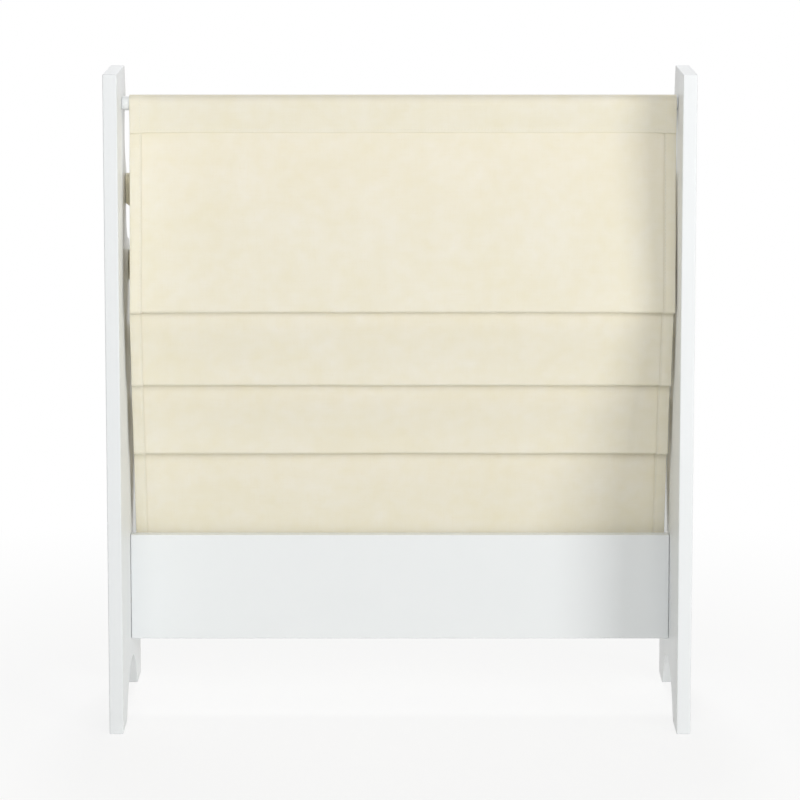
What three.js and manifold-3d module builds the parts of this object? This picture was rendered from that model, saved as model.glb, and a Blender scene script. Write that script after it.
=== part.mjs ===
// Sling bookshelf for a child's room. Two painted side panels carry five round rods and one
// stretcher board. A single length of canvas is sewn round each rod in a sleeve and hangs in
// a pocket between every two rods. Millimetres, +Z up, the front faces -Y.
// The shelf stands on z = 0 and is centred on x and y.
import * as THREE from 'three';
import { mergeVertices } from 'three/addons/utils/BufferGeometryUtils.js';
import Module from 'manifold-3d';

const wasm = await Module();
wasm.setup();

// Overall size
const unitWidth = 620;
const unitDepth = 290;
const unitHeight = 705;

// Clearance between pieces that touch, and how far a cutting tool runs past the face it cuts
const fitGap = 0.3;
const cutOverrun = 3;

// Counts of sides and steps on round work
const rodSides = 32;
const screwSides = 16;
const panelArcSteps = 8;
const canvasCurveSteps = 12;
const easeSteps = 1;

// Side panels, with depths measured forward from the back edge
const panelThickness = 15;
const edgeEase = 1.2;
const headDepth = 122;
const headRun = 26;
const noseRadius = 12;
const rodBossRadius = 22;
const scoopSet = 8;
const longScoopShare = 0.44;
const shoulderRadius = 30;
const shoulderHeight = 250;
const backFootDepth = 57;
const frontFootDepth = 49;
const archHeight = 50;

// Rods, spaced evenly from the top one down to the front one
const rodCount = 5;
const rodDiameter = 15;
const rodChamfer = 0.8;
const topRodSet = 78;
const topRodDrop = 37;
const frontRodHeight = 318;
const rodStepForward = 39;

// Canvas sling, with places measured from the rod at the back of each pocket
const canvasThickness = 1.2;
const canvasSideGap = 5;
const sleeveDrop = 30;
const pocketDepth = 101;
const foldRadius = 3;
const wallGap = 3;

// How far each end of a canvas wall is drawn out and along before the wall turns. The first share
// is of a rod's step forward. The second is of a pocket's depth, or at the belly and where a lower
// wall hangs of a rod's step down.
const foldSetShare = 0.45;
const mouthPullShares = new THREE.Vector2(0.1, 0.7);
const bellyPullShares = new THREE.Vector2(-0.1, 0.68);
const risePullShares = new THREE.Vector2(0.55, 0.35);
const topPullShares = new THREE.Vector2(0.45, 0.3);
const hangPullShares = new THREE.Vector2(0.2, 0.45);
const tuckShare = 0.55;

// Stretcher board
const boardThickness = 15;
const boardHeight = 116;
const boardBottom = 74;
const boardSet = 135;

// Countersunk wood screws, one into each end of each rod
const rodScrewLength = 45;
const rodScrewRadius = 2;
const rodScrewHeadRadius = 4;
const rodScrewHeadHeight = 2.4;
const rodScrewRim = 0.4;
const rodScrewTip = 4;

// Shouldered furniture screws, two into each end of the board
const boardScrewLength = 50;
const boardScrewRadius = 2.5;
const boardScrewHeadRadius = 5;
const boardScrewHeadHeight = 3;
const boardScrewRim = 0.5;
const boardScrewTip = 4;
const boardScrewShoulderRadius = 3.5;
const boardScrewSpacing = 76;

// Wooden locating pins, two into each end of the board
const pinLength = 30;
const pinRadius = 4;
const pinChamfer = 1;
const pinInPanel = 10;
const pinSpacing = 32;

// Bores run this far past the end of what goes into them
const boreRelief = 1;

// Worked out from the sizes above
const innerSpan = unitWidth - 2 * panelThickness;
const canvasWidth = innerSpan - 2 * canvasSideGap;
const rodLength = innerSpan - 2 * fitGap;
const rodRadius = rodDiameter / 2;
const layerSet = (canvasThickness + fitGap) / 2;
const sleeveRadius = rodRadius + fitGap + canvasThickness / 2;
const rodStepDown = (unitHeight - topRodDrop - frontRodHeight) / (rodCount - 1);
const pocketDrop = rodStepDown + sleeveDrop + pocketDepth;
const boardScrewShoulder = panelThickness - boardScrewHeadHeight;

// Materials, as the eye sees them in daylight
const whitePaint = () => new THREE.MeshStandardMaterial({ color: 0xf1f2f1, roughness: 0.45, metalness: 0 });
const naturalCanvas = () => new THREE.MeshStandardMaterial({ color: 0xefe7cf, roughness: 0.95, metalness: 0 });
const zincPlate = () => new THREE.MeshStandardMaterial({ color: 0xb8bcc0, roughness: 0.35, metalness: 1 });
const plainBeech = () => new THREE.MeshStandardMaterial({ color: 0xcfa878, roughness: 0.7, metalness: 0 });

// The centre of rod number i, forward of the back edge and above the floor
function rodPlace(i) {
  return new THREE.Vector2(
    topRodSet + i * rodStepForward,
    unitHeight - topRodDrop - i * rodStepDown
  );
}

// Turns a flat outline drawn as (forward, up) to stand across the shelf, centred on its thickness
function acrossShelf(geometry, thickness) {
  geometry.translate(0, 0, -thickness / 2);
  return geometry.applyMatrix4(new THREE.Matrix4().makeBasis(
    new THREE.Vector3(0, -1, 0),
    new THREE.Vector3(0, 0, 1),
    new THREE.Vector3(-1, 0, 0)
  ));
}

// A flat outline as a plate with eased edges, still as wide and as thick as it is drawn
function easedPlate(shape, thickness, ease) {
  const geometry = new THREE.ExtrudeGeometry(shape, {
    depth: thickness - 2 * ease,
    bevelEnabled: true,
    bevelThickness: ease,
    bevelSize: ease,
    bevelOffset: -ease,
    bevelSegments: easeSteps,
    curveSegments: panelArcSteps,
  });
  geometry.translate(0, 0, ease);
  return acrossShelf(geometry, thickness);
}

// A turned piece whose profile is drawn as (radius, distance), laid along +X
function turned(profile, sides) {
  const geometry = new THREE.LatheGeometry(profile.map(([r, d]) => new THREE.Vector2(r, d)), sides);
  return geometry.rotateZ(-Math.PI / 2);
}

// A closed geometry as a solid that can be cut
function solidOf(geometry) {
  const plain = geometry.clone();
  plain.deleteAttribute('normal');
  plain.deleteAttribute('uv');
  const merged = mergeVertices(plain, 1e-3);
  return new wasm.Manifold(new wasm.Mesh({
    numProp: 3,
    vertProperties: merged.attributes.position.array,
    triVerts: new Uint32Array(merged.index.array),
  }));
}

// The geometry with every tool cut away from it
function cutBy(geometry, tools) {
  const solid = tools.reduce((left, tool) => left.subtract(solidOf(tool)), solidOf(geometry));
  const mesh = solid.getMesh();
  const made = new THREE.BufferGeometry();
  made.setAttribute('position', new THREE.BufferAttribute(mesh.vertProperties, 3));
  made.setIndex(new THREE.BufferAttribute(mesh.triVerts, 1));
  const faceted = made.toNonIndexed();
  faceted.computeVertexNormals();
  return faceted;
}

// The circle of an inward scoop that is tangent to two round noses and runs between them,
// with its centre in front of both
function scoopBetween(first, second, radius) {
  const apart = second.centre.clone().sub(first.centre);
  const distance = apart.length();
  const along = apart.clone().divideScalar(distance);
  const forward = new THREE.Vector2(-along.y, along.x);
  const reachFirst = first.radius + radius;
  const reachSecond = second.radius + radius;
  const run = (reachFirst ** 2 - reachSecond ** 2 + distance ** 2) / (2 * distance);
  const rise = Math.sqrt(reachFirst ** 2 - run ** 2);
  const centre = first.centre.clone().addScaledVector(along, run).addScaledVector(forward, rise);
  return { centre, radius };
}

// The angle at which one point is seen from another
function bearing(from, to) {
  return Math.atan2(to.y - from.y, to.x - from.x);
}

// The outline of a side panel, up the straight back and down the waved front
function panelOutline() {
  const step = new THREE.Vector2(rodStepForward, -rodStepDown);
  const down = step.clone().normalize();
  const forward = new THREE.Vector2(-down.y, down.x);
  const noseTouch = new THREE.Vector2(
    headDepth + headRun * rodStepForward / rodStepDown,
    unitHeight - headRun
  );
  const nose = {
    centre: noseTouch.clone().addScaledVector(forward, -noseRadius),
    radius: noseRadius,
  };
  const bosses = [];
  for (let i = 1; i < rodCount; i++) {
    bosses.push({ centre: rodPlace(i), radius: rodBossRadius });
  }
  const shoulder = {
    centre: new THREE.Vector2(unitDepth - shoulderRadius, shoulderHeight),
    radius: shoulderRadius,
  };
  const half = step.length() / 2;
  const bossScoop = (half ** 2 + scoopSet ** 2 - rodBossRadius ** 2) / (2 * (rodBossRadius + scoopSet));
  const rounds = [nose, ...bosses, shoulder];

  const shape = new THREE.Shape();
  shape.moveTo(0, 0);
  shape.lineTo(0, unitHeight);
  shape.lineTo(headDepth, unitHeight);
  shape.lineTo(noseTouch.x, noseTouch.y);
  let arrival = Math.atan2(forward.y, forward.x);
  for (let i = 0; i + 1 < rounds.length; i++) {
    const [here, next] = [rounds[i], rounds[i + 1]];
    const betweenBosses = i > 0 && i + 2 < rounds.length;
    const apart = here.centre.distanceTo(next.centre);
    const scoop = scoopBetween(here, next, betweenBosses ? bossScoop : longScoopShare * apart);
    const leave = bearing(here.centre, scoop.centre);
    shape.absarc(here.centre.x, here.centre.y, here.radius, arrival, leave, true);
    shape.absarc(
      scoop.centre.x, scoop.centre.y, scoop.radius,
      bearing(scoop.centre, here.centre), bearing(scoop.centre, next.centre), false
    );
    arrival = bearing(next.centre, scoop.centre);
  }
  shape.absarc(shoulder.centre.x, shoulder.centre.y, shoulder.radius, arrival, 0, true);
  shape.lineTo(unitDepth, 0);
  shape.lineTo(unitDepth - frontFootDepth, 0);
  const archHalf = (unitDepth - frontFootDepth - backFootDepth) / 2;
  const archRadius = (archHalf ** 2 + archHeight ** 2) / (2 * archHeight);
  const archCentre = new THREE.Vector2(backFootDepth + archHalf, archHeight - archRadius);
  const springing = Math.atan2(-archCentre.y, archHalf);
  shape.absarc(archCentre.x, archCentre.y, archRadius, springing, Math.PI - springing, false);
  shape.lineTo(0, 0);
  return shape;
}

// Where the fasteners of one end of the board lie, above the middle of the board
const boardScrewPlaces = [-boardScrewSpacing / 2, boardScrewSpacing / 2];
const pinPlaces = [-pinSpacing / 2, pinSpacing / 2];
const boardMiddle = new THREE.Vector2(boardSet + boardThickness / 2, boardBottom + boardHeight / 2);

// Moves a geometry to a place given as (forward, up)
function movedTo(geometry, place, x) {
  return geometry.translate(x, -place.x, place.y);
}

// A screw's profile, with its point at zero and its head at the far end
function screwProfile(length, radius, headRadius, headHeight, rim, tip) {
  return [
    [0, 0],
    [radius, tip],
    [radius, length - headHeight],
    [headRadius, length - rim],
    [headRadius, length],
    [0, length],
  ];
}

// The countersunk hole that a screw passes through, from the panel's inner face outward
function clearanceProfile(radius, headRadius, headHeight, rim) {
  return [
    [0, -cutOverrun],
    [radius, -cutOverrun],
    [radius, panelThickness - headHeight - 2 * fitGap],
    [headRadius, panelThickness - rim - 2 * fitGap],
    [headRadius, panelThickness + cutOverrun],
    [0, panelThickness + cutOverrun],
  ];
}

function boreProfile(radius, start, end) {
  return [[0, start], [radius, start], [radius, end], [0, end]];
}

// The right-hand side panel, bored through for screws and from its inner face for pins.
// The left-hand one is its mirror image.
function panelGeometry() {
  const inner = -panelThickness / 2;
  const tools = [];
  for (let i = 0; i < rodCount; i++) {
    const profile = clearanceProfile(
      rodScrewRadius + fitGap, rodScrewHeadRadius + fitGap,
      rodScrewHeadHeight, rodScrewRim
    );
    tools.push(movedTo(turned(profile, screwSides), rodPlace(i), inner));
  }
  for (const lift of boardScrewPlaces) {
    const profile = clearanceProfile(
      boardScrewShoulderRadius + fitGap, boardScrewHeadRadius + fitGap,
      boardScrewHeadHeight, boardScrewRim
    );
    const place = new THREE.Vector2(boardMiddle.x, boardMiddle.y + lift);
    tools.push(movedTo(turned(profile, screwSides), place, inner));
  }
  for (const lift of pinPlaces) {
    const place = new THREE.Vector2(boardMiddle.x, boardMiddle.y + lift);
    const profile = boreProfile(pinRadius + fitGap, -cutOverrun, pinInPanel + boreRelief);
    tools.push(movedTo(turned(profile, screwSides), place, inner));
  }
  return cutBy(easedPlate(panelOutline(), panelThickness, edgeEase), tools);
}

// A rod with a pilot bore in each end
function rodGeometry() {
  const half = rodLength / 2;
  const boreRadius = rodScrewRadius + fitGap;
  const boreEnd = rodScrewLength - panelThickness + boreRelief;
  return turned([
    [0, -half + boreEnd],
    [boreRadius, -half + boreEnd],
    [boreRadius, -half],
    [rodRadius - rodChamfer, -half],
    [rodRadius, -half + rodChamfer],
    [rodRadius, half - rodChamfer],
    [rodRadius - rodChamfer, half],
    [boreRadius, half],
    [boreRadius, half - boreEnd],
    [0, half - boreEnd],
  ], rodSides);
}

// The stretcher board, bored in both ends for its screws and pins
function boardGeometry() {
  const length = innerSpan - 2 * fitGap;
  const section = new THREE.Shape();
  section.moveTo(-boardThickness / 2, -boardHeight / 2);
  section.lineTo(boardThickness / 2, -boardHeight / 2);
  section.lineTo(boardThickness / 2, boardHeight / 2);
  section.lineTo(-boardThickness / 2, boardHeight / 2);
  section.closePath();
  const bores = [
    { places: boardScrewPlaces, radius: boardScrewRadius, end: boardScrewLength - panelThickness },
    { places: pinPlaces, radius: pinRadius, end: pinLength - pinInPanel },
  ];
  const tools = [];
  for (const { places, radius, end } of bores) {
    const profile = boreProfile(radius + fitGap, -cutOverrun, end + boreRelief);
    for (const lift of places) {
      tools.push(turned(profile, screwSides).translate(-length / 2, 0, lift));
      tools.push(turned(profile, screwSides).rotateZ(Math.PI).translate(length / 2, 0, lift));
    }
  }
  return cutBy(easedPlate(section, length, edgeEase), tools);
}

// How far out and along a wall is drawn from one of its ends
function wallPull(shares, height) {
  return new THREE.Vector2(rodStepForward * shares.x, height * shares.y);
}

// Takes the canvas from the stitch line behind a rod, over the rod, to the stitch in front of it
function addSleeve(path, rod, start) {
  const wrap = Math.acos(sleeveRadius / sleeveDrop);
  if (start) path.moveTo(rod.x - layerSet, rod.y - sleeveDrop + fitGap);
  path.absarc(rod.x, rod.y, sleeveRadius, -Math.PI / 2 - wrap, -Math.PI / 2 + wrap, true);
  path.lineTo(rod.x + layerSet, rod.y - sleeveDrop);
}

// The middle line of the canvas in one pocket, from the sleeve on its rear rod to the next rod
function pocketPath(i) {
  const rear = rodPlace(i);
  const next = rodPlace(i + 1);
  const path = new THREE.Path();
  addSleeve(path, rear, true);
  const fold = new THREE.Vector2(
    rear.x - foldSetShare * rodStepForward,
    rear.y - pocketDrop + foldRadius + canvasThickness / 2
  );
  const mouth = new THREE.Vector2(rear.x + layerSet, rear.y - sleeveDrop);
  const top = new THREE.Vector2(next.x - layerSet, next.y - sleeveDrop);
  const mouthPull = wallPull(mouthPullShares, pocketDepth);
  const bellyPull = wallPull(bellyPullShares, rodStepDown);
  const risePull = wallPull(risePullShares, pocketDepth);
  const topPull = wallPull(topPullShares, pocketDepth);
  const hangPull = i === 0 ? bellyPull : wallPull(hangPullShares, rodStepDown);

  // The walls meet the fold's arc in line with their pulls
  const rearLean = Math.atan2(hangPull.x, hangPull.y);
  const frontLean = Math.atan2(risePull.x, risePull.y);
  const foldStart = new THREE.Vector2(-Math.cos(rearLean), -Math.sin(rearLean));
  const foldEnd = new THREE.Vector2(Math.cos(frontLean), -Math.sin(frontLean));
  foldStart.multiplyScalar(foldRadius).add(fold);
  foldEnd.multiplyScalar(foldRadius).add(fold);
  if (i === 0) {
    path.bezierCurveTo(
      mouth.x - mouthPull.x, mouth.y - mouthPull.y,
      foldStart.x - bellyPull.x, foldStart.y + bellyPull.y,
      foldStart.x, foldStart.y
    );
  } else {
    // A lower rear wall lies along the front wall behind it, passes that fold and hangs to its own
    const tuck = new THREE.Vector2(foldEnd.x + wallGap - rodStepForward, foldEnd.y + rodStepDown);
    path.bezierCurveTo(
      mouth.x - topPull.x, mouth.y - topPull.y,
      tuck.x + risePull.x, tuck.y + risePull.y,
      tuck.x, tuck.y
    );
    path.bezierCurveTo(
      tuck.x - risePull.x * tuckShare, tuck.y - risePull.y * tuckShare,
      foldStart.x - hangPull.x, foldStart.y + hangPull.y,
      foldStart.x, foldStart.y
    );
  }
  path.absarc(fold.x, fold.y, foldRadius, Math.PI + rearLean, 2 * Math.PI - frontLean, false);
  path.bezierCurveTo(
    foldEnd.x + risePull.x, foldEnd.y + risePull.y,
    top.x - topPull.x, top.y - topPull.y,
    top.x, top.y
  );
  if (i + 2 === rodCount) addSleeve(path, next, false);
  return path;
}

// The widest that a sharp turn may spread the canvas, as a share of its thickness
const mitreLimitShare = 2;

// Gives a middle line its thickness: out along one side of it and back along the other
function ribbonOutline(path, thickness) {
  const points = path.getPoints(canvasCurveSteps).filter(
    (point, i, all) => i === 0 || point.distanceTo(all[i - 1]) > fitGap / 2
  );
  const sides = [[], []];
  points.forEach((point, i) => {
    const before = points[Math.max(i - 1, 0)];
    const after = points[Math.min(i + 1, points.length - 1)];
    const arriving = i === 0 ? after.clone().sub(point) : point.clone().sub(before);
    const leaving = i === points.length - 1 ? arriving.clone() : after.clone().sub(point);
    arriving.normalize();
    leaving.normalize();
    const along = arriving.add(leaving).normalize();
    const mitre = thickness / 2 * Math.min(1 / along.dot(leaving), mitreLimitShare);
    const across = new THREE.Vector2(-along.y, along.x).multiplyScalar(mitre);
    sides[0].push(point.clone().add(across));
    sides[1].unshift(point.clone().sub(across));
  });
  return new THREE.Shape([...sides[0], ...sides[1]]);
}

// The canvas of one pocket, with the sleeve on the rod at its back
function pocketGeometry(i) {
  const geometry = new THREE.ExtrudeGeometry(ribbonOutline(pocketPath(i), canvasThickness), {
    depth: canvasWidth,
    bevelEnabled: false,
  });
  return acrossShelf(geometry, canvasWidth);
}

function rodScrewGeometry() {
  return turned(screwProfile(
    rodScrewLength, rodScrewRadius, rodScrewHeadRadius, rodScrewHeadHeight, rodScrewRim, rodScrewTip
  ), screwSides);
}

function boardScrewGeometry() {
  const shoulderStart = boardScrewLength - boardScrewHeadHeight - boardScrewShoulder;
  const profile = screwProfile(
    boardScrewLength, boardScrewRadius, boardScrewHeadRadius,
    boardScrewHeadHeight, boardScrewRim, boardScrewTip
  );
  profile.splice(2, 1,
    [boardScrewRadius, shoulderStart],
    [boardScrewShoulderRadius, shoulderStart],
    [boardScrewShoulderRadius, boardScrewLength - boardScrewHeadHeight]
  );
  return turned(profile, screwSides);
}

function pinGeometry() {
  return turned([
    [0, 0],
    [pinRadius - pinChamfer, 0],
    [pinRadius, pinChamfer],
    [pinRadius, pinLength - pinChamfer],
    [pinRadius - pinChamfer, pinLength],
    [0, pinLength],
  ], screwSides);
}

const shelf = new THREE.Group();
shelf.name = 'sling_bookshelf';
// Everything in the frame is placed forward of the back edge
const frame = new THREE.Group();
frame.position.y = unitDepth / 2;
shelf.add(frame);

function addPiece(name, geometry, material, parent) {
  const mesh = new THREE.Mesh(geometry, material);
  mesh.name = name;
  parent.add(mesh);
  return mesh;
}

// Side panels, each with the fasteners of its end
for (const [sideName, side] of [['left', -1], ['right', 1]]) {
  const end = new THREE.Group();
  end.position.x = side * innerSpan / 2;
  frame.add(end);

  const panel = addPiece(`side_panel_${sideName}`, panelGeometry(), whitePaint(), end);
  panel.position.x = side * panelThickness / 2;
  panel.scale.x = side;

  // Screws and pins are drawn with their inner end at zero, and start inside the rod or board
  const outward = side > 0 ? 0 : Math.PI;
  const seat = (mesh, place, start) => {
    mesh.position.set(side * start, -place.x, place.y);
    mesh.rotation.z = outward;
  };
  for (let i = 0; i < rodCount; i++) {
    const screw = addPiece(`rod_screw_${sideName}_${i + 1}`, rodScrewGeometry(), zincPlate(), end);
    seat(screw, rodPlace(i), panelThickness - rodScrewLength - fitGap);
  }
  boardScrewPlaces.forEach((lift, i) => {
    const screw = addPiece(`board_screw_${sideName}_${i + 1}`, boardScrewGeometry(), zincPlate(), end);
    const place = new THREE.Vector2(boardMiddle.x, boardMiddle.y + lift);
    seat(screw, place, panelThickness - boardScrewLength - fitGap);
  });
  pinPlaces.forEach((lift, i) => {
    const pin = addPiece(`board_pin_${sideName}_${i + 1}`, pinGeometry(), plainBeech(), end);
    const place = new THREE.Vector2(boardMiddle.x, boardMiddle.y + lift);
    seat(pin, place, pinInPanel - pinLength);
  });
}

// Rods and the canvas that hangs between them
for (let i = 0; i < rodCount; i++) {
  const rod = addPiece(`rod_${i + 1}`, rodGeometry(), whitePaint(), frame);
  rod.position.set(0, -rodPlace(i).x, rodPlace(i).y);
}
for (let i = 0; i + 1 < rodCount; i++) {
  addPiece(`sling_pocket_${i + 1}`, pocketGeometry(i), naturalCanvas(), frame);
}

const board = addPiece('stretcher_board', boardGeometry(), whitePaint(), frame);
board.position.set(0, -boardMiddle.x, boardMiddle.y);

export default shelf;
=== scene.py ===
# Sling bookshelf for a child's room: two painted side panels, five rods, a stretcher board and
# one length of canvas that hangs in four pockets. The camera looks at its back.
# Metres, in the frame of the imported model: +Z is up and the front faces -Y.
import math
import bpy
import numpy as np
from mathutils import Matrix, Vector, noise


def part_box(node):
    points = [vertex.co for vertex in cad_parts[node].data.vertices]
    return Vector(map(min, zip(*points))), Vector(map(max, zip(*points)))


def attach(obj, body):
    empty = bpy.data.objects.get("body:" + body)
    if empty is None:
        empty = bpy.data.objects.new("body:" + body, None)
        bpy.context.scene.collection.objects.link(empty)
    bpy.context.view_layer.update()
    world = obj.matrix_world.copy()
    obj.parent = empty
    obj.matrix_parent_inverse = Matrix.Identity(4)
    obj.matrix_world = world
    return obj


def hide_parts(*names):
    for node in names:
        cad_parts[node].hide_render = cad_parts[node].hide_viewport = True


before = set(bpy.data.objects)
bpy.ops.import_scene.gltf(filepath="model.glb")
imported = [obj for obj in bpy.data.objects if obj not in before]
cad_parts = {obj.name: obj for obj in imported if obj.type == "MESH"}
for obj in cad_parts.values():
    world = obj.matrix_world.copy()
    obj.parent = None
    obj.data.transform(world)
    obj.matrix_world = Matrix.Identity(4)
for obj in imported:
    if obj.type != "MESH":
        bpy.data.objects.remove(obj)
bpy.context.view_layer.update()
mm = 0.001
print("scene: the frame is loaded")


# Places that everything else is worked out from
def middleOf(node):
    low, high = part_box(node)
    return (low + high) / 2


rodCount = 5
boardFixings = 2  # screws, and as many pins, at each end of the board
rodPlaces = [middleOf(f"rod_{i + 1}") for i in range(rodCount)]
rodRadius = (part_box("rod_1")[1].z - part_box("rod_1")[0].z) / 2
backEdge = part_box("side_panel_left")[1].y
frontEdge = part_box("side_panel_left")[0].y
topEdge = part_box("side_panel_left")[1].z
stepForward = rodPlaces[0].y - rodPlaces[1].y
stepDown = rodPlaces[0].z - rodPlaces[1].z


# Small helpers for modelling as by hand
def deselectAll():
    if bpy.context.object and bpy.context.object.mode != "OBJECT":
        bpy.ops.object.mode_set(mode="OBJECT")
    bpy.ops.object.select_all(action="DESELECT")


def makeActive(piece):
    deselectAll()
    piece.select_set(True)
    bpy.context.view_layer.objects.active = piece


# Opens a piece in edit mode, with all of it selected
def editAll(piece):
    makeActive(piece)
    bpy.ops.object.mode_set(mode="EDIT")
    bpy.ops.mesh.select_all(action="SELECT")


def faceOutwards(piece):
    editAll(piece)
    bpy.ops.mesh.normals_make_consistent(inside=False)
    bpy.ops.object.mode_set(mode="OBJECT")


def newPiece(name, vertices, faces):
    mesh = bpy.data.meshes.new(name)
    mesh.from_pydata(vertices, [], faces)
    piece = bpy.data.objects.new(name, mesh)
    bpy.context.scene.collection.objects.link(piece)
    makeActive(piece)
    return piece


def applyPlace(piece):
    makeActive(piece)
    bpy.ops.object.transform_apply(location=True, rotation=True, scale=True)


def applyModifier(piece, kind, **settings):
    makeActive(piece)
    modifier = piece.modifiers.new(kind.title(), kind)
    for name, value in settings.items():
        setattr(modifier, name, value)
    bpy.ops.object.modifier_apply(modifier=modifier.name)


def cutAway(piece, tools):
    makeActive(tools[0])
    for tool in tools:
        tool.select_set(True)
    if len(tools) > 1:
        bpy.ops.object.join()
    tool = bpy.context.object
    applyModifier(piece, "BOOLEAN", operation="DIFFERENCE", object=tool, solver="EXACT")
    bpy.data.objects.remove(tool)


def smoothBelow(piece, degrees):
    makeActive(piece)
    bpy.ops.object.shade_smooth_by_angle(angle=math.radians(degrees))


# For eased pieces: their edges are smooth, and their broad faces stay flat
def smoothFlatPiece(piece, degrees):
    smoothBelow(piece, degrees)
    applyModifier(piece, "WEIGHTED_NORMAL", keep_sharp=True, weight=100)


# A copy with a mesh of its own, turned about Z and moved
def copyTo(model, place, turn=0):
    piece = model.copy()
    piece.data = model.data.copy()
    bpy.context.scene.collection.objects.link(piece)
    piece.location = place
    piece.rotation_euler = (0, 0, turn)
    applyPlace(piece)
    return piece


def finishPiece(piece, name, material, replaced):
    piece.name = name
    piece.data.name = name
    piece.data.materials.clear()
    piece.data.materials.append(material)
    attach(piece, "root")
    if replaced:
        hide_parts(*replaced)


# Small helpers for materials
def toLinear(hexColour):
    shares = [int(hexColour[i:i + 2], 16) / 255 for i in (1, 3, 5)]
    return [s / 12.92 if s <= 0.04045 else ((s + 0.055) / 1.055) ** 2.4 for s in shares] + [1]


# Adds a node with its settings and links. Each value is a plain one, another node's output, or
# another node, which stands for its first output.
def addNode(tree, kind, settings):
    node = tree.nodes.new(f"ShaderNode{kind}")
    for name, value in settings.items():
        if isinstance(value, bpy.types.Node):
            value = value.outputs[0]
        if isinstance(value, bpy.types.NodeSocket):
            tree.links.new(value, node.inputs[name])
        elif isinstance(name, int) or name in node.inputs:
            node.inputs[name].default_value = value
        else:
            setattr(node, name, value)
    return node


# A material, from the function that makes its surface
def makeMaterial(name, surfaceOf):
    material = bpy.data.materials.new(name)
    material.use_nodes = True
    tree = material.node_tree
    tree.nodes.clear()
    addNode(tree, "OutputMaterial", {"Surface": surfaceOf(tree)})
    return material


# The scale at which a pattern's cells are so many millimetres across
def scaleFor(size):
    return 1 / (size * mm)


noiseSpan = {"From Min": 0.3, "From Max": 0.7}  # where nearly all of a noise pattern's values lie


# The place on a piece, drawn out along X as wood grain is
def placeAlongGrain(tree, look):
    place = addNode(tree, "TexCoord", {}).outputs["Object"]
    stretch = (look["grainWidth"] / look["grainLength"], 1, 1)
    return addNode(tree, "Mapping", {"Vector": place, "Scale": stretch})


# A coat whose colour and roughness both follow a pattern, from its low values to its high ones
def patchyCoat(tree, look, pattern):
    low, high = [toLinear(colour) for colour in look["colours"]]
    colour = addNode(tree, "Mix", {"data_type": "RGBA", 0: pattern, 6: low, 7: high})
    smooth, rough = look["roughness"]
    gloss = addNode(tree, "MapRange", noiseSpan | {"Value": pattern, "To Min": smooth, "To Max": rough})
    return {"Base Color": colour.outputs[2], "Roughness": gloss}


# A surface over a bump of so many millimetres
def bumpedSurface(tree, height, strength, depth, settings):
    bump = addNode(tree, "Bump", {"Height": height, "Strength": strength, "Distance": depth * mm})
    return addNode(tree, "BsdfPrincipled", settings | {"Normal": bump})


# Fibreboard, sprayed with satin white lacquer: a faint orange peel and slightly uneven gloss
def satinLacquer(tree):
    look = {
        "colours": ("#EFF1F2", "#EBEEEF"),
        "roughness": (0.36, 0.46),
        "patchSize": 90,
        "peelSize": 2.4,
        "peelHeight": 0.012,
        "peelStrength": 0.35,
    }
    place = addNode(tree, "TexCoord", {}).outputs["Object"]
    patches = addNode(tree, "TexNoise", {"Vector": place, "Scale": scaleFor(look["patchSize"]), "Detail": 3})
    peel = addNode(tree, "TexNoise", {"Vector": place, "Scale": scaleFor(look["peelSize"]), "Detail": 2})
    coat = patchyCoat(tree, look, patches) | {"IOR": 1.5}
    return bumpedSurface(tree, peel, look["peelStrength"], look["peelHeight"], coat)


# Turned beech rod under white paint: fine grain lines along it still show through the coat
def paintedRod(tree):
    look = {
        "colours": ("#F0F2F2", "#F6F8F8"),
        "roughness": (0.38, 0.5),
        "grainWidth": 1.1,
        "grainLength": 60,
        "grainHeight": 0.02,
        "grainStrength": 0.4,
    }
    along = placeAlongGrain(tree, look)
    grain = addNode(tree, "TexNoise", {"Vector": along, "Scale": scaleFor(look["grainWidth"]), "Detail": 3})
    coat = patchyCoat(tree, look, grain) | {"IOR": 1.5}
    return bumpedSurface(tree, grain, look["grainStrength"], look["grainHeight"], coat)


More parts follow.
